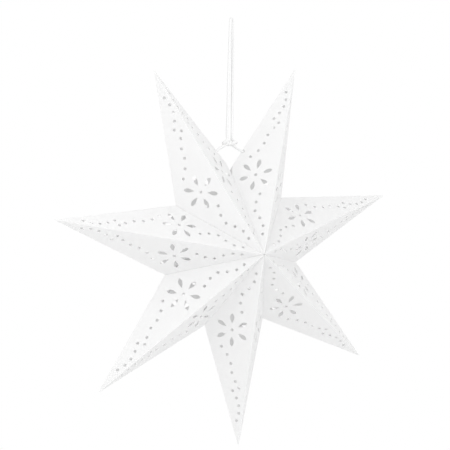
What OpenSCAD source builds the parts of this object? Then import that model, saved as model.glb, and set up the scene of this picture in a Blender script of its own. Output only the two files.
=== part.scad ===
/* [Star] */
// Reach of an arm's tip from the star's centre
tip_r = 225; // [210:1:240]
// Reach of the notch between two arms from the star's centre
notch_r = 90; // [84:1:96]
// Height of the front and back points over the star's middle plane
half_depth = 68; // [60:1:76]
// Thickness of the card
card = 0.4; // [0.3:0.05:0.5]
// Radius of the small gap where the arms' points meet
point_gap_r = 0.8; // [0.5:0.1:1.2]
// Width of the open seam along each valley, between two arms' folds
seam_gap = 0.3; // [0.2:0.05:0.4]

/* [Hanging] */
// Height of the loop's crown over the star's centre
hang_h = 260; // [250:1:300]
// Angle by which the star has turned on its cord
hang_turn = 2.4; // [0:0.1:3]
// Angle by which the cord pulls the upper left arm towards the top
pull_left = 1.7; // [0:0.1:2.5]
// Angle by which the cord pulls the upper right arm towards the top
pull_right = 0.6; // [0:0.1:2.5]
// Distance by which the cord lifts the upper left arm's corner at the top notch
corner_lift = 6; // [0:0.5:8]

/* [Glue flaps] */
// Width of the flap folded in along each valley
flap_w = 8; // [5:0.5:10]
// Bare length of valley at the front or back point
flap_point_gap = 9; // [6:0.5:14]
// Bare length of valley at the notch
flap_notch_gap = 6; // [4:0.5:10]
// Half the gap between two flaps, which the glue fills
glue_gap = 0.05; // [0.03:0.01:0.1]

/* [Punched pattern] */
// Diameter of a dot
dot_d = 3.5; // [2.8:0.1:3.9]
// Distance of a petal's point from the middle of its flower
petal_start = 7.5; // [6.5:0.1:8]
// Length of a petal
petal_len = 12; // [10:0.5:12.5]
// Width of a petal
petal_w = 5; // [4:0.1:5.5]
// Number of petals in a flower
petal_count = 6; // [4:1:6]
// Angle of the first petal from the ridge
petal_turn = -6; // [-10:1:0]

/* [Cable hole] */
// Length that the hole takes off the upper right arm's valley at the top notch
cable_cut_valley = 10.5; // [8:0.5:12]
// Length that the hole takes off the upper left arm's side fold
cable_cut_fold_left = 4; // [3:0.5:6]
// Length that the hole takes off the upper right arm's side fold
cable_cut_fold_right = 8; // [6:0.5:10]
// Bare length of valley between the hole and its flaps
cable_flap_gap = 2.5; // [1.5:0.5:5]

/* [Cord] */
// Diameter of the braided cord
cord_d = 3; // [2.5:0.1:3.2]
// Diameter of the two holes that the cord goes in by
cord_hole_d = 5; // [4.8:0.1:5.6]
// Distance of the left hole from its arm's corner at the top notch, along the side fold
cord_hole_at_left = 23; // [22:0.5:24]
// Distance of the right hole from its arm's corner at the top notch, along the side fold
cord_hole_at_right = 29; // [28:0.5:30]
// Diameter of the stop knot at each end of the cord
stop_knot_d = 7; // [6.6:0.1:8]
// Gap left between a knot and what it bears on
knot_clearance = 0.1; // [0.05:0.05:0.3]
// Thickness of the big knot at its two ends
knot_d = 7.2; // [6.5:0.1:8]
// Thickness of the big knot between its ends
knot_waist_d = 6.6; // [6:0.1:7]

/* [Hidden] */

// Arms are numbered clockwise from the bottom one, as seen from the front
arm_count = 7;
arm_step = 360 / arm_count;
bottom_angle = -90;
upper_left = 3;
upper_right = 4;

// The star's front and back points, with the star's centre at the origin
front = [0, -half_depth, 0];
back = [0, half_depth, 0];

// Distance of a face's plane from the star's centre, and the inside as a share of the outside
side_fold_len = sqrt(tip_r * tip_r + notch_r * notch_r - 2 * tip_r * notch_r * cos(arm_step / 2));
side_fold_h = tip_r * notch_r * sin(arm_step / 2) / side_fold_len;
face_h = half_depth * side_fold_h / norm([half_depth, side_fold_h]);
inside = 1 - card / face_h;

// How much of the way from its tip to a valley's plane an arm reaches
seam_share = 1 - seam_gap / 2 / (tip_r * sin(arm_step / 2));

// The punched sheet is drawn for a face with its tip and its notch at these places
drawn_tip = [235, 0];
drawn_notch = [98.4, 57.5];
flower_at = [96.7, 25.3];
inner_dots = [[24.3, 6], [34.4, 7], [43.7, 12.2], [52, 19], [62.7, 19.5], [73.2, 16.6]];
outer_dots = [[118.6, 34.9], [126.9, 27.1], [136.8, 21.6], [147.4, 19.1], [157.1, 13.6],
    [163.9, 8.7], [168.7, 15.2], [176.5, 9.8], [185.2, 5.9], [194.3, 4.9], [203.7, 6.2]];
petal_steps = 7;
punch_depth = 3 * card;

// Colours of the card and the cord
card_colour = "#f7f7f5";
cord_colour = "#efeeea";

// The cord's route from the left hole to the right one, from the star's centre as it hangs.
// Inside the big knot, which hides it, it runs straight through
route = [[-22.2, 0, 110.5], [-19.5, 0, 112.9], [-16, 0, 115.6], [-12.6, 0, 117.4],
    [-9.8, 0, 119], [-7.6, 0, 121], [-6.3, 0, 125], [-5.8, 0, 131], [-5.5, -0.2, 145],
    [-5.2, -0.6, 160], [-5, -1, 175], [-4.9, -1.3, 190], [-4.6, -1.7, 205], [-4.4, -2.2, 220],
    [-4.3, -2.9, 235], [-4.1, -3.8, 249], [-4, -4, 255.8], [-3.5, -3.5, 258.5],
    [-2, -2, 260.7], [0, 0, 261.5], [2, 2, 260.7], [3.5, 3.5, 258.5], [4, 4, 255.8],
    [4, 3.8, 249], [3.6, 2.9, 235], [3, 2.2, 220], [2.5, 1.7, 205], [2.1, 1.3, 190],
    [1.8, 1, 175], [1.4, 0.6, 160], [1.1, 0.2, 145], [0.8, 0, 131], [0.8, 0, 126],
    [1.4, 0, 122], [2.9, 0, 119.1], [5.2, 0, 117.2], [8, 0, 115.5], [10.8, 0, 114.1],
    [14, 0, 112.7], [16, 0, 111.1]];
cord_sides = 8;
// A direction that the cord never runs along, which its rings are set out from
cord_side = [1, -1, 0];

// Ends of the big knot from the star's centre, as it hangs
knot_left = [-9.4, 0, 122.4];
knot_right = [4.1, 0, 122.4];

function unit(v) = v / norm(v);
function on_plane(angle, radius) = [radius * cos(angle), 0, radius * sin(angle)];
function pull(k) = k == upper_left ? -pull_left : k == upper_right ? pull_right : 0;
function tip(k) = on_plane(bottom_angle - k * arm_step + pull(k), tip_r);

// side is 1 for an arm's clockwise side and -1 for the other
function lift(k, side) = k == upper_left && side > 0 ? corner_lift : 0;
function side_notch(k, side) =
    on_plane(bottom_angle - (k + side / 2) * arm_step, notch_r + lift(k, side));
function at_top(k, side) = (k == upper_left && side > 0) || (k == upper_right && side < 0);

// How much the cable's hole takes off a top arm's valley, where both arms' cuts meet, and off its fold
function cut_off_valley(k, side, point) = cable_cut_valley
    + norm(side_notch(k, side) - point) - norm(side_notch(upper_right, -1) - point);
function cut_off_fold(k) = k == upper_left ? cable_cut_fold_left : cable_cut_fold_right;

// Where the cord's hole lies on a top arm's side fold
function hole_at(k, side) = side_notch(k, side)
    + (k == upper_left ? cord_hole_at_left : cord_hole_at_right) * unit(tip(k) - side_notch(k, side));
// The direction out of that hole, away from its arm
function hole_axis(k, side) = let (fold = unit(tip(k) - side_notch(k, side)))
    side * [fold.z, 0, -fold.x];

// How far a side fold is from the star's centre, and how deep a stop knot sits behind it
function fold_reach(k, side) = norm(cross(tip(k), side_notch(k, side)))
    / norm(tip(k) - side_notch(k, side));
function stop_knot_depth(k, side) = (stop_knot_d / 2 + card + knot_clearance)
    * norm([half_depth, fold_reach(k, side)]) / half_depth;

// Stretches a point of the drawn sheet to a face with the given ridge and notch
function on_sheet(p, ridge, notch_at) =
    [p.x < drawn_notch.x ? p.x * notch_at.x / drawn_notch.x
        : notch_at.x + (p.x - drawn_notch.x) * (ridge - notch_at.x) / (drawn_tip.x - drawn_notch.x),
     p.y * notch_at.y / drawn_notch.y];

// A petal's half width at a share of its length, pointed at 0 and round at 1
function petal_half(t) = petal_w / 2 * pow(sin(180 * pow(t, 1.4)), 0.75);
petal_outline = let (shares = [for (i = [0 : petal_steps]) sin(90 * i / petal_steps)])
    concat([for (i = [0 : petal_steps]) [petal_len * shares[i], petal_half(shares[i])]],
        [for (i = [petal_steps - 1 : -1 : 1]) [petal_len * shares[i], -petal_half(shares[i])]]);

// Sets its children on a plane, given a corner, the direction of X and a direction towards +Y
module on_face(corner, along, towards) {
    u = unit(along);
    v = unit(towards - (towards * u) * u);
    n = cross(u, v);
    multmatrix([[u.x, v.x, n.x, corner.x], [u.y, v.y, n.y, corner.y],
        [u.z, v.z, n.z, corner.z], [0, 0, 0, 1]]) children();
}

// Puts the star in its place under the loop's crown
module hung() {
    translate([0, 0, -hang_h]) rotate([0, -hang_turn, 0]) children();
}

// An arm's four faces, folded from one sheet, and open towards the star's centre
module folded_faces(k) {
    corners = [front, side_notch(k, 1), back, side_notch(k, -1), tip(k)];
    rim = [for (corner = corners) tip(k) + seam_share * (corner - tip(k))];
    polyhedron(points = concat(rim, rim * inside),
        faces = [[0, 4, 1], [1, 4, 2], [2, 4, 3], [3, 4, 0],
            [5, 6, 9], [6, 7, 9], [7, 8, 9], [8, 5, 9],
            [0, 1, 6, 5], [1, 2, 7, 6], [2, 3, 8, 7], [3, 0, 5, 8]]);
}

// The flap that a face folds in along its valley, to be glued to the next arm's
module glue_flap(k, side, point) {
    valley = side_notch(k, side) - point;
    notch_gap = at_top(k, side) ? cut_off_valley(k, side, point) + cable_flap_gap : flap_notch_gap;
    first = flap_point_gap;
    last = norm(valley) - notch_gap;
    turned = cross(valley, -point) * tip(k) > 0;
    on_face(point, valley, -point)
        translate([0, 0, turned ? glue_gap : -glue_gap - card])
            linear_extrude(height = card)
                polygon([[first, card / 2], [last, card / 2],
                    [last - flap_w, flap_w], [first + flap_w, flap_w]]);
}

// One flower: a dot with a ring of petals
module flower() {
    dot();
    for (i = [0 : petal_count - 1])
        rotate([0, 0, petal_turn + i * 360 / petal_count])
            translate([petal_start, 0, -punch_depth])
                linear_extrude(height = 2 * punch_depth) polygon(petal_outline);
}

module dot() {
    cylinder(h = 2 * punch_depth, d = dot_d, center = true, $fn = 32);
}

// What is punched out of one face
module punched(k, side, point) {
    ridge = tip(k) - point;
    edge = side_notch(k, side) - point;
    notch_u = edge * unit(ridge);
    notch_at = [notch_u, norm(edge - notch_u * unit(ridge))];
    on_face(point, ridge, edge) {
        for (p = concat(inner_dots, outer_dots))
            translate(on_sheet(p, norm(ridge), notch_at)) dot();
        translate(on_sheet(flower_at, norm(ridge), notch_at)) flower();
    }
}

// The corner cut off a face at the top notch, where the lamp's cable comes out
module cable_cut(k, side, point) {
    ridge = tip(k) - point;
    edge = side_notch(k, side) - point;
    valley = norm(edge);
    fold = norm(tip(k) - side_notch(k, side));
    on_face(point, edge, ridge) {
        corner = [valley, 0];
        tip_u = ridge * unit(edge);
        tip_at = [tip_u, norm(ridge - tip_u * unit(edge))];
        on_valley = corner - [cut_off_valley(k, side, point), 0];
        on_fold = corner + cut_off_fold(k) * (tip_at - corner) / fold;
        past = on_fold - on_valley;
        translate([0, 0, -punch_depth]) linear_extrude(height = 2 * punch_depth)
            polygon([on_valley - past, on_fold + past, corner + [2 * cable_cut_valley, 0]]);
    }
}

// The hole that the cord goes in by, through the side fold
module cord_hole(k, side) {
    axis = hole_axis(k, side);
    translate(hole_at(k, side)) rotate([0, atan2(axis.x, axis.z), 0])
        cylinder(h = 4 * cord_hole_d, d = cord_hole_d, center = true, $fn = 32);
}

module paper_arm(k) {
    hung() difference() {
        union() {
            folded_faces(k);
            for (side = [-1, 1], point = [front, back]) glue_flap(k, side, point);
        }
        for (side = [-1, 1], point = [front, back]) punched(k, side, point);
        rotate([90, 0, 0]) cylinder(h = 3 * half_depth, r = point_gap_r, center = true, $fn = 32);
        for (side = [-1, 1]) if (at_top(k, side)) {
            for (point = [front, back]) cable_cut(k, side, point);
            cord_hole(k, side);
        }
    }
}

module arm_bottom() { color(card_colour) paper_arm(0); }
module arm_lower_left() { color(card_colour) paper_arm(1); }
module arm_left() { color(card_colour) paper_arm(2); }
module arm_upper_left() { color(card_colour) paper_arm(upper_left); }
module arm_upper_right() { color(card_colour) paper_arm(upper_right); }
module arm_right() { color(card_colour) paper_arm(5); }
module arm_lower_right() { color(card_colour) paper_arm(6); }

// The big knot, grown by a clearance where something has to fit round it
module knot_form(grow = 0) {
    span = knot_right - knot_left;
    translate([0, 0, -hang_h]) {
        translate(knot_left) rotate([0, 90, 0])
            cylinder(h = norm(span), d = knot_waist_d + 2 * grow, $fn = 32);
        for (end = [knot_left, knot_right])
            translate(end) sphere(d = knot_d + 2 * grow, $fn = 32);
    }
}

module cord_knot() { color(cord_colour) knot_form(); }

// A stop knot inside a top arm, behind the hole that it can't pass
module stop_form(k, side, grow = 0) {
    hung() translate(hole_at(k, side) - stop_knot_depth(k, side) * hole_axis(k, side))
        sphere(d = stop_knot_d + 2 * grow, $fn = 32);
}

module stop_knot_left() { color(cord_colour) stop_form(upper_left, 1); }
module stop_knot_right() { color(cord_colour) stop_form(upper_right, -1); }

// A round tube along a list of points
module tube(points, d) {
    last = len(points) - 1;
    rings = [for (i = [0 : last])
        let (run = unit(points[min(i + 1, last)] - points[max(i - 1, 0)]),
            a = unit(cross(run, cord_side)), b = cross(run, a))
        for (j = [0 : cord_sides - 1])
            points[i] + d / 2 * (cos(360 * j / cord_sides) * a + sin(360 * j / cord_sides) * b)];
    function at(i, j) = i * cord_sides + j % cord_sides;
    walls = [for (i = [0 : last - 1], j = [0 : cord_sides - 1])
        each [[at(i, j), at(i, j + 1), at(i + 1, j)], [at(i, j + 1), at(i + 1, j + 1), at(i + 1, j)]]];
    ends = [[for (j = [cord_sides - 1 : -1 : 0]) at(0, j)],
        [for (j = [0 : cord_sides - 1]) at(last, j)]];
    polyhedron(points = rings, faces = concat(walls, ends));
}

// The whole cord: up from the left hole, through the knot, round the loop and back
module hanging_cord() {
    color(cord_colour) difference() {
        translate([0, 0, -hang_h]) tube(route, cord_d);
        knot_form(knot_clearance);
        stop_form(upper_left, 1, knot_clearance);
        stop_form(upper_right, -1, knot_clearance);
    }
}

arm_bottom();
arm_lower_left();
arm_left();
arm_upper_left();
arm_upper_right();
arm_right();
arm_lower_right();
hanging_cord();
cord_knot();
stop_knot_left();
stop_knot_right();
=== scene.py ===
"""A folded card star with punched flowers, hung by a knotted braided cord.

The star's seven arms are the frame's own folded sheets, dressed as uncoated white card. The cord
is modelled here as one braided tube, which runs from the hole in one top arm through the half
knot, round the loop and back to the hole in the other, with a stop knot at each end. Lengths are
in metres, in the frame's own axes, with the origin at the crown of the cord's loop.
"""

import logging
import math
from dataclasses import dataclass, field
from enum import Enum

import bpy
from mathutils import Matrix, Vector

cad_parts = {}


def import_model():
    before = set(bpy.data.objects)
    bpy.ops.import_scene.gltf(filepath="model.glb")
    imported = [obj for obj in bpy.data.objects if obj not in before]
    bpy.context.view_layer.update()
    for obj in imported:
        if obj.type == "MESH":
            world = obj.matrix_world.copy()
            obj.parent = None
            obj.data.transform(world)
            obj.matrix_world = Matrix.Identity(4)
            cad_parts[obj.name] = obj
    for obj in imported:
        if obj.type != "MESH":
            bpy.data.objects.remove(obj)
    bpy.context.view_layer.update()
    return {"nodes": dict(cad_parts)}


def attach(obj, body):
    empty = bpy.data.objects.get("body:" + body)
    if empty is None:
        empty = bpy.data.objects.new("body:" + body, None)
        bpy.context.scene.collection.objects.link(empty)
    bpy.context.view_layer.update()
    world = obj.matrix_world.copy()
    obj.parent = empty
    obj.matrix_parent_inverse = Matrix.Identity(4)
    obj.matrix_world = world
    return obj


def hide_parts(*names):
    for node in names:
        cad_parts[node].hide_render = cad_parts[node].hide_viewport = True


LOG = logging.getLogger("paper_star")
MM = 0.001
BODY = "root"
# A smooth line is first drawn with this many points to a step, and eased this many times at the end
DENSITY = 4
EASING = 8
SHORTEST_SPAN = 1e-9
# A Mix node has a set of sockets for each kind of value: these are for two numbers and two colours
NUMBER_A, NUMBER_B, NUMBER_OUT = 2, 3, 0
COLOUR_A, COLOUR_B, COLOUR_OUT = 6, 7, 2
Route = tuple[tuple[float, float, float], ...]
ARM_NODES = ("arm_bottom", "arm_lower_left", "arm_left", "arm_upper_left", "arm_upper_right",
             "arm_right", "arm_lower_right")


class Slot(Enum):
    """The record's material slots."""

    CARD = "card"
    CORD = "cord"


class Side(Enum):
    """The two top arms, which the cord ties together, by their direction from the notch."""

    LEFT = -1
    RIGHT = 1


def linear(hex_colour: str) -> tuple[float, float, float, float]:
    """Turns an sRGB hex colour to linear light.

    Args:
        hex_colour: six hex digits after a hash sign.

    Returns:
        Linear red, green and blue, and an alpha of 1.
    """
    shares = [int(hex_colour[i:i + 2], 16) / 255 for i in (1, 3, 5)]
    light = [s / 12.92 if s <= 0.04045 else ((s + 0.055) / 1.055) ** 2.4 for s in shares]
    return (*light, 1.0)


def add_node(tree: bpy.types.NodeTree, kind: str, inputs: dict | None = None,
             **settings: object) -> bpy.types.Node:
    """Adds a node, with its settings, its values and its links.

    Args:
        tree: the node tree that takes it.
        kind: the node's type name.
        inputs: a value or another node's output for each named or numbered input.
        settings: the node's own properties.

    Returns:
        The new node.
    """
    node = tree.nodes.new(kind)
    for name, value in settings.items():
        setattr(node, name, value)
    for key, value in (inputs or {}).items():
        if isinstance(value, bpy.types.NodeSocket):
            tree.links.new(value, node.inputs[key])
        else:
            node.inputs[key].default_value = value
    return node


def empty_material(name: str) -> bpy.types.Material:
    """Makes a material whose node tree is bare."""
    material = bpy.data.materials.new(name)
    material.use_nodes = True
    material.node_tree.nodes.clear()
    return material


def deselect() -> None:
    """Clears the selection, so that an operator acts only on what comes next."""
    bpy.ops.object.select_all(action="DESELECT")


def activate(piece: bpy.types.Object) -> None:
    """Makes one object the only one selected, and the active one."""
    deselect()
    piece.select_set(True)
    bpy.context.view_layer.objects.active = piece


@dataclass(frozen=True)
class UncoatedCard:
    """White uncoated card: matt, faintly fibrous, and lit through a little.

    The sheet is a thin solid. Light is scattered once where it enters the card, and leaves freely
    by the other surface. The field through is the share of it that goes on into the sheet.
    """

    colour: str = "#f7f7f7"
    shade: str = "#f2f2f2"
    roughness: float = 0.85
    specular: float = 0.2
    through: float = 0.31
    fibre_mm: float = 0.9
    fibre_depth_mm: float = 0.004
    cockle_mm: float = 55.0
    cockle_depth_mm: float = 0.25

    def build(self) -> bpy.types.Material:
        """Builds the card's material.

        Returns:
            The material, which reads Object coordinates.
        """
        material = empty_material("uncoated_card")
        tree = material.node_tree
        place = add_node(tree, "ShaderNodeTexCoord").outputs["Object"]
        # Paper fibres are finer than a tenth of a millimetre; they are drawn coarser, to show at all
        fibres = add_node(tree, "ShaderNodeTexNoise", {
            "Vector": place, "Scale": 1 / (self.fibre_mm * MM), "Detail": 4.0, "Roughness": 0.6})
        # A sheet takes up damp unevenly, and its faces stay a little less than flat
        cockle = add_node(tree, "ShaderNodeTexNoise", {
            "Vector": place, "Scale": 1 / (self.cockle_mm * MM), "Detail": 1.0, "Roughness": 0.4})
        mottle = add_node(tree, "ShaderNodeMix", {
            0: fibres.outputs["Fac"], COLOUR_A: linear(self.colour), COLOUR_B: linear(self.shade)},
            data_type="RGBA").outputs[COLOUR_OUT]
        fine = add_node(tree, "ShaderNodeBump", {
            "Strength": 1.0, "Distance": self.fibre_depth_mm * MM,
            "Height": fibres.outputs["Fac"]})
        relief = add_node(tree, "ShaderNodeBump", {
            "Strength": 1.0, "Distance": self.cockle_depth_mm * MM,
            "Height": cockle.outputs["Fac"], "Normal": fine.outputs["Normal"]})
        face = add_node(tree, "ShaderNodeBsdfPrincipled", {
            "Base Color": mottle, "Roughness": self.roughness,
            "Specular IOR Level": self.specular, "Normal": relief.outputs["Normal"]})
        behind = add_node(tree, "ShaderNodeBsdfTranslucent", {
            "Color": mottle, "Normal": relief.outputs["Normal"]})
        both = add_node(tree, "ShaderNodeMixShader", {
            0: self.through, 1: face.outputs[0], 2: behind.outputs[0]})
        leaving = add_node(tree, "ShaderNodeNewGeometry").outputs["Backfacing"]
        clear = add_node(tree, "ShaderNodeBsdfTransparent")
        sheet = add_node(tree, "ShaderNodeMixShader", {
            0: leaving, 1: both.outputs[0], 2: clear.outputs[0]})
        add_node(tree, "ShaderNodeOutputMaterial", {"Surface": sheet.outputs[0]})
        return material


@dataclass(frozen=True)
class BraidedCotton:
    """Bleached cotton cord, braided: dull, with shade painted into its colour in the grooves between
    its yarns.
    """

    colour: str = "#f5f5f5"
    # Painted shade: the colour of the grooves between the yarns, darker than the yarn's own
    groove: str = "#cacaca"
    roughness: float = 0.95
    specular: float = 0.2
    sheen: float = 0.3
    fibre_mm: float = 0.35
    fibre_depth_mm: float = 0.05

    def build(self) -> bpy.types.Material:
        """Builds the cord's material.

        Returns:
            The material, which reads the piece's own "yarn" attribute and Object coordinates.
        """
        material = empty_material("braided_cotton")
        tree = material.node_tree
        place = add_node(tree, "ShaderNodeTexCoord").outputs["Object"]
        # Height of the yarn at each point of the braid, from 0 in a groove to 1 on a crown
        yarn = add_node(tree, "ShaderNodeAttribute", attribute_name="yarn").outputs["Fac"]
        fibres = add_node(tree, "ShaderNodeTexNoise", {
            "Vector": place, "Scale": 1 / (self.fibre_mm * MM), "Detail": 3.0})
        # Painted shade: the colour darkens from the crowns of the yarns down into the grooves, where
        # shade falls
        colour_with_painted_groove_shade = add_node(tree, "ShaderNodeMix", {
            0: yarn, COLOUR_A: linear(self.groove), COLOUR_B: linear(self.colour)},
            data_type="RGBA").outputs[COLOUR_OUT]
        relief = add_node(tree, "ShaderNodeBump", {
            "Strength": 1.0, "Distance": self.fibre_depth_mm * MM,
            "Height": fibres.outputs["Fac"]})
        face = add_node(tree, "ShaderNodeBsdfPrincipled", {
            "Base Color": colour_with_painted_groove_shade, "Roughness": self.roughness,
            "Specular IOR Level": self.specular, "Sheen Weight": self.sheen,
            "Normal": relief.outputs["Normal"]})
        add_node(tree, "ShaderNodeOutputMaterial", {"Surface": face.outputs[0]})
        return material


@dataclass(frozen=True)
class HangingStar:
    """Where the star hangs under the crown of the cord's loop, and how it is turned there."""

    hang_height: float = 260 * MM
    tip_reach: float = 225 * MM
    notch_reach: float = 90 * MM
    half_depth: float = 68 * MM
    card: float = 0.4 * MM
    turn: float = math.radians(-2.4)
    arm_count: int = 7
    pull_left: float = math.radians(-1.7)
    pull_right: float = math.radians(0.6)
    corner_lift: float = 6 * MM
    hole_from_left_corner: float = 23 * MM
    hole_from_right_corner: float = 29 * MM

    @property
    def centre(self) -> Vector:
        """The star's centre in the frame's axes."""
        return Vector((0, 0, -self.hang_height))

    def placed(self, angle: float, reach: float) -> Vector:
        """Places a point of the star's middle plane, seen from the star's centre.

        Args:
            angle: its direction from the centre, anticlockwise from the right, in radians.
            reach: its distance from the centre.

        Returns:
            The point, turned as the star hangs.
        """
        flat = Vector((reach * math.cos(angle), 0, reach * math.sin(angle)))
        return Matrix.Rotation(self.turn, 3, "Y") @ flat

    def behind_hole(self, side: Side, knot: float) -> tuple[Vector, Vector]:
        """Finds the place of a stop knot, which bears on both faces behind a cord hole.

        Args:
            side: which top arm the hole is in.
            knot: the knot's diameter.

        Returns:
            The knot's middle in the frame's axes, and the direction out of the hole.
        """
        top = math.pi / 2
        left = side is Side.LEFT
        pull = self.pull_left if left else self.pull_right
        tip = self.placed(top - side.value * math.pi / self.arm_count + pull, self.tip_reach)
        corner = self.placed(top, self.notch_reach + (self.corner_lift if left else 0))
        fold = (tip - corner).normalized()
        hole = corner + fold * (self.hole_from_left_corner if left else self.hole_from_right_corner)
        outward = fold.cross(Vector((0, 1, 0))) * side.value
        reach = tip.cross(corner).length / (tip - corner).length
        depth = (knot / 2 + self.card) * math.hypot(self.half_depth, reach) / self.half_depth
        return self.centre + hole - outward * depth, outward


@dataclass
class PaperStar:
    """The seven folded arms, glued flap to flap along their valleys."""

    finish: UncoatedCard = field(default_factory=UncoatedCard)

    def dress(self, nodes: dict[str, bpy.types.Object]) -> None:
        """Gives each arm its card.

        Args:
            nodes: the frame's own objects, by node name.
        """
        card = self.finish.build()
        for name in ARM_NODES:
            arm = nodes[name]
            for slot in arm.material_slots:
                slot.material = card
            LOG.info("%s: its %s slot is uncoated card", name, Slot.CARD.value)


@dataclass(frozen=True)
class Braid:
    """How a braided tube's surface rises and falls.

    Where two yarns cross, the upper one is highest, and one that goes over nothing falls to the
    share lone_yarn of that. A yarn's back is rounded by the power roundness. A surface point of
    the height mean_height stands at the cord's own radius.
    """

    diameter: float = 3.0 * MM
    sides: int = 32
    ring_step: float = 0.3 * MM
    carriers: int = 6
    pitch: float = 7.5 * MM
    relief: float = 0.16 * MM
    roundness: float = 0.7
    lone_yarn: float = 0.55
    mean_height: float = 0.75

    def height(self, along: float, turn: float) -> float:
        """Gives the yarn's height at a place on the tube.

        Args:
            along: distance along the tube.
            turn: angle round it.

        Returns:
            0 in a groove, up to 1 on the crown of a yarn.
        """
        twist = 2 * math.pi * along / self.pitch
        over = abs(math.sin(self.carriers * (turn + twist) / 2))
        under = abs(math.sin(self.carriers * (turn - twist) / 2))
        crossing = self.lone_yarn + (1 - self.lone_yarn) * min(over, under)
        return max(over, under) ** self.roundness * crossing


def smooth_line(points: list[Vector], step: float) -> list[Vector]:
    """Draws one smooth curve through a list of points.

    Args:
        points: where it passes, in order.
        step: the distance between the points that come back.

    Returns:
        Evenly spaced points along a centripetal curve through them.
    """
    ends = [2 * points[0] - points[1], *points, 2 * points[-1] - points[-2]]
    dense = []
    for a, b, c, d in zip(ends, ends[1:], ends[2:], ends[3:]):
        knots = [0.0]
        for p, q in ((a, b), (b, c), (c, d)):
            knots.append(knots[-1] + math.sqrt(max((q - p).length, SHORTEST_SPAN)))
        t0, t1, t2, t3 = knots
        count = max(DENSITY, int((c - b).length / step * DENSITY))
        for i in range(count):
            t = t1 + (t2 - t1) * i / count
            p = (t1 - t) / (t1 - t0) * a + (t - t0) / (t1 - t0) * b
            q = (t2 - t) / (t2 - t1) * b + (t - t1) / (t2 - t1) * c
            r = (t3 - t) / (t3 - t2) * c + (t - t2) / (t3 - t2) * d
            u = (t2 - t) / (t2 - t0) * p + (t - t0) / (t2 - t0) * q
            v = (t3 - t) / (t3 - t1) * q + (t - t1) / (t3 - t1) * r
            dense.append((t2 - t) / (t2 - t1) * u + (t - t1) / (t2 - t1) * v)
    dense.append(points[-1].copy())
    even, carried = [dense[0]], 0.0
    for p, q in zip(dense, dense[1:]):
        span = (q - p).length
        while span > 0 and carried + span >= step:
            p = p + (q - p) * ((step - carried) / span)
            even.append(p)
            span, carried = (q - p).length, 0.0
        carried += span
    # A cord can't turn as sharply as the curve does at its points
    for _ in range(EASING):
        eased = [(p + 2 * q + r) / 4 for p, q, r in zip(even, even[1:], even[2:])]
        even = [even[0], *eased, even[-1]]
    return even


def braided_tube(name: str, line: list[Vector], braid: Braid,
                 spread: list[float] | None = None) -> bpy.types.Object:
    """Sweeps a braided surface along a line.

    Args:
        name: the new object's name.
        line: its ring centres.
        braid: its diameter and its pattern.
        spread: how wide the tube is at each ring, as a share of its diameter; all 1 without it.

    Returns:
        A closed mesh with smooth faces and a "yarn" attribute.
    """
    count = len(line)
    ways = [(line[min(i + 1, count - 1)] - line[max(i - 1, 0)]).normalized() for i in range(count)]
    across = ways[0].orthogonal().normalized()
    points, heights, along = [], [], 0.0
    for i, centre in enumerate(line):
        if i:
            along += (centre - line[i - 1]).length
            across = ways[i - 1].rotation_difference(ways[i]) @ across
            across = (across - ways[i] * across.dot(ways[i])).normalized()
        aside = ways[i].cross(across)
        width = spread[i] if spread else 1.0
        for j in range(braid.sides):
            turn = 2 * math.pi * j / braid.sides
            rise = braid.height(along, turn)
            radius = width * braid.diameter / 2 + braid.relief * (rise - braid.mean_height)
            points.append(centre + radius * (math.cos(turn) * across + math.sin(turn) * aside))
            heights.append(rise)
    n = braid.sides
    faces = [(i * n + j, i * n + (j + 1) % n, (i + 1) * n + (j + 1) % n, (i + 1) * n + j)
             for i in range(count - 1) for j in range(n)]
    faces.append(tuple(range(n - 1, -1, -1)))
    faces.append(tuple((count - 1) * n + j for j in range(n)))
    mesh = bpy.data.meshes.new(name)
    mesh.from_pydata(points, [], faces)
    mesh.attributes.new("yarn", "FLOAT", "POINT").data.foreach_set("value", heights)
    piece = bpy.data.objects.new(name, mesh)
    bpy.context.collection.objects.link(piece)
    activate(piece)
    bpy.ops.object.shade_smooth()
    return piece


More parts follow.
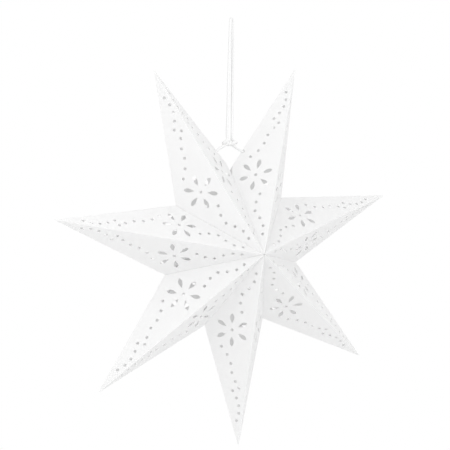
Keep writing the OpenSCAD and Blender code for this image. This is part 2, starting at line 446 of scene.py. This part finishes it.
@dataclass
class HangingCord:
    """The cord: a loop to hang by, a half knot over the star, and a stop knot inside each top arm.

    In the half knot the two runs of the cord wind round each other, opposite each other all the
    way, and the star's weight squeezes them together there. The stop knots are tied in the cord's
    ends, drawn a little thinner because they are pulled tight.
    """

    star: HangingStar = field(default_factory=HangingStar)
    braid: Braid = field(default_factory=Braid)
    finish: BraidedCotton = field(default_factory=BraidedCotton)
    stop_knot: float = 7.0 * MM
    pulled_share: float = 0.8
    stop_step: float = 0.35 * MM
    stop_sides: int = 16
    stop_points: int = 48
    # The half knot, in millimetres from the star's centre
    wound_radius: float = 1.6
    wound_height: float = 121.6
    wound_pitch: float = 7.2
    wound_start: float = -8.0
    wound_end: float = 1.0
    points_a_turn: int = 8
    # How much wider the cord is in the half knot, how far above and below its middle that reaches,
    # in millimetres, and within what share of the reach it is all there
    squeeze: float = 0.2
    squeeze_reach: float = 4.6
    squeeze_full: float = 0.5
    # The cord's route in millimetres from the star's centre, from the left hole to the right one
    left_leg: Route = (
        (-22.2, 0, 110.5), (-19.5, 0, 112.9), (-16, 0, 115.6), (-12.6, 0, 117.4), (-9.9, 0, 118.9))
    right_turn: Route = (
        (3, -1.9, 122.6), (5, -1.5, 122.8), (6.3, -0.2, 122.4), (5.7, 1.3, 122.6), (3.8, 1.9, 123.8),
        (1.9, 1.5, 125.7), (1, 0.7, 128))
    right_strand: Route = (
        (0.8, 0, 131), (1.1, 0.2, 145), (1.4, 0.6, 160), (1.8, 1, 175), (2.1, 1.3, 190),
        (2.5, 1.7, 205), (3, 2.2, 220), (3.6, 2.9, 235), (4, 3.8, 249))
    crown: Route = (
        (4, 4, 255.8), (3.5, 3.5, 258.5), (2, 2, 260.7), (0, 0, 261.5), (-2, -2, 260.7),
        (-3.5, -3.5, 258.5), (-4, -4, 255.8))
    left_strand: Route = (
        (-4.1, -3.8, 249), (-4.3, -2.9, 235), (-4.4, -2.2, 220), (-4.6, -1.7, 205),
        (-4.9, -1.3, 190), (-5, -1, 175), (-5.2, -0.6, 160), (-5.5, -0.2, 145), (-5.8, 0, 131))
    left_turn: Route = (
        (-6, -0.6, 127.6), (-6.8, -1.4, 125.3), (-8.5, -1.8, 123.6), (-10.1, -1.1, 122.4),
        (-10.5, 0.4, 121.7), (-9.4, 1.5, 121.5), (-7.8, 1.7, 121.9))
    right_leg: Route = (
        (2.3, 0.9, 119.9), (3.6, 0.2, 118.4), (5.2, 0, 117.2), (8, 0, 115.5), (10.8, 0, 114.1),
        (14, 0, 112.7), (16, 0, 111.1))

    def wound(self, first: bool) -> Route:
        """Winds one run of the cord round the other in the half knot.

        Args:
            first: True for the run from the left leg, False for the run to the right one.

        Returns:
            Its points from left to right, in millimetres from the star's centre.
        """
        side = 1 if first else -1
        # The second run comes in at the back, a quarter of a turn later
        start = self.wound_start + (0 if first else self.wound_pitch / 4)
        step = self.wound_pitch / self.points_a_turn
        points = []
        for i in range(round((self.wound_end - start) / step) + 1):
            x = start + i * step
            turn = 2 * math.pi * (x - self.wound_start) / self.wound_pitch
            points.append((x, -side * self.wound_radius * math.sin(turn),
                           self.wound_height - side * self.wound_radius * math.cos(turn)))
        return tuple(points)

    def spread(self, place: Vector) -> float:
        """Says how far the cord spreads at a place, squeezed in the knot or free.

        Args:
            place: a point of its middle line.

        Returns:
            Its width there as a share of its diameter.
        """
        rise = abs((place - self.star.centre).z / MM - self.wound_height)
        share = min(max(1 - rise / self.squeeze_reach, 0.0) / (1 - self.squeeze_full), 1.0)
        return 1 + self.squeeze * share

    def build(self) -> None:
        """Models the cord and its stop knots, attaches them to the root body and hides the frame's
        own cord and knots.
        """
        cotton = self.finish.build()
        route = (*self.left_leg, *self.wound(True), *self.right_turn, *self.right_strand, *self.crown,
                 *self.left_strand, *self.left_turn, *self.wound(False), *self.right_leg)
        points = [self.star.centre + Vector(p) * MM for p in route]
        line = smooth_line(points, self.braid.ring_step)
        cord = braided_tube("braided_cord", line, self.braid, [self.spread(p) for p in line])
        cord.data.materials.append(cotton)
        knots = [self.stopper(side, cotton) for side in Side]
        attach(cord, BODY)
        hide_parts("hanging_cord", "cord_knot")

    def stopper(self, side: Side, cotton: bpy.types.Material) -> bpy.types.Object:
        """Ties the stop knot inside a top arm.

        Args:
            side: which top arm it is in.
            cotton: the cord's material.

        Returns:
            The knot, a small closed trefoil.
        """
        word = side.name.lower()
        middle, outward = self.star.behind_hole(side, self.stop_knot)
        to_hole = outward.to_track_quat("Z", "Y")
        strand = Braid(diameter=self.braid.diameter * self.pulled_share, ring_step=self.stop_step,
                       sides=self.stop_sides)
        # The trefoil's own curve reaches 3 from its middle
        spread = (self.stop_knot - strand.diameter) / 2 / 3
        turns = [2 * math.pi * i / self.stop_points for i in range(self.stop_points)]
        loop = [Vector((math.sin(t) + 2 * math.sin(2 * t), math.cos(t) - 2 * math.cos(2 * t),
                        -math.sin(3 * t))) * spread for t in turns]
        points = [middle + to_hole @ p for p in loop]
        knot = braided_tube(f"stop_knot_{word}_tied", smooth_line(points, strand.ring_step), strand)
        knot.data.materials.append(cotton)
        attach(knot, BODY)
        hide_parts(f"stop_knot_{word}")
        LOG.info("%s tied", knot.name)
        return knot


@dataclass
class Studio:
    """The white studio: its light, and the camera at the photograph's angle."""

    star: HangingStar = field(default_factory=HangingStar)
    yaw: float = math.radians(31.92)
    pitch: float = math.radians(2.99)
    distance: float = 1.750
    aim_left: float = 7.26 * MM
    aim_up: float = 29.17 * MM
    focal_px: float = 1545.0
    frame_px: int = 450
    sensor_mm: float = 36.0
    clip_near: float = 0.05
    clip_far: float = 50.0
    sky: float = 0.93
    sky_tilt: tuple[float, float, float] = (-0.03, -0.40, 0.08)
    key_strength: float = 0.8
    key_size: float = 0.4
    key_left: float = 0.45
    key_front: float = 0.7
    key_up: float = 0.4

    def axes(self) -> tuple[Vector, Vector, Vector]:
        """Works out the camera's directions.

        Returns:
            Its right, its look and its up, in the frame's axes.
        """
        turn = Matrix.Rotation(self.pitch, 3, "X") @ Matrix.Rotation(self.yaw, 3, "Z")
        back = turn.transposed()
        return back @ Vector((1, 0, 0)), back @ Vector((0, 1, 0)), back @ Vector((0, 0, 1))

    def set_camera(self) -> None:
        """Puts the camera where the photograph was taken from."""
        right, look, up = self.axes()
        aim = self.star.centre - right * self.aim_left + up * self.aim_up
        data = bpy.data.cameras.new("photo_camera")
        data.sensor_width = self.sensor_mm
        data.lens = self.focal_px / self.frame_px * self.sensor_mm
        data.clip_start, data.clip_end = self.clip_near, self.clip_far
        camera = bpy.data.objects.new("photo_camera", data)
        bpy.context.collection.objects.link(camera)
        pose = Matrix((right, up, -look)).transposed().to_4x4()
        pose.translation = aim - look * self.distance
        camera.matrix_world = pose
        bpy.context.scene.camera = camera

    def light(self) -> None:
        """Lights the star softly from all round, more from the front and by a lamp at upper left."""
        world = bpy.data.worlds.new("studio")
        bpy.context.scene.world = world
        world.use_nodes = True
        tree = world.node_tree
        tree.nodes.clear()
        way = add_node(tree, "ShaderNodeTexCoord").outputs["Generated"]
        tilt = add_node(tree, "ShaderNodeVectorMath", {0: way, 1: self.sky_tilt},
                        operation="DOT_PRODUCT")
        sky = add_node(tree, "ShaderNodeMath", {0: tilt.outputs["Value"], 1: self.sky},
                       operation="ADD")
        camera = add_node(tree, "ShaderNodeLightPath").outputs["Is Camera Ray"]
        # The camera sees plain white, whatever light comes from there
        white = add_node(tree, "ShaderNodeMix", {
            0: camera, NUMBER_A: sky.outputs[0], NUMBER_B: 1.0})
        backdrop = add_node(tree, "ShaderNodeBackground", {
            "Color": (1, 1, 1, 1), "Strength": white.outputs[NUMBER_OUT]})
        add_node(tree, "ShaderNodeOutputWorld", {"Surface": backdrop.outputs[0]})
        right, look, up = self.axes()
        place = self.star.centre - right * self.key_left - look * self.key_front + up * self.key_up
        self.lamp("key_left", place, self.key_size, self.key_strength)

    def lamp(self, name: str, place: Vector, size: float, watts: float) -> None:
        """Adds a square soft lamp that faces the star.

        Args:
            name: its name.
            place: where it stands.
            size: the length of its side.
            watts: its power.
        """
        data = bpy.data.lights.new(name, "AREA")
        data.shape = "SQUARE"
        data.size = size
        data.energy = watts
        lamp = bpy.data.objects.new(name, data)
        bpy.context.collection.objects.link(lamp)
        lamp.visible_camera = False
        lamp.location = place
        lamp.rotation_euler = (self.star.centre - place).to_track_quat("-Z", "Y").to_euler()


def main() -> None:
    """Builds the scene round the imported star."""
    logging.basicConfig(level=logging.INFO, format="%(message)s")
    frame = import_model()
    bpy.context.scene.view_settings.view_transform = "Standard"
    studio = Studio()
    studio.set_camera()
    HangingCord().build()
    PaperStar().dress(frame["nodes"])
    studio.light()


if __name__ == "__main__":
    main()
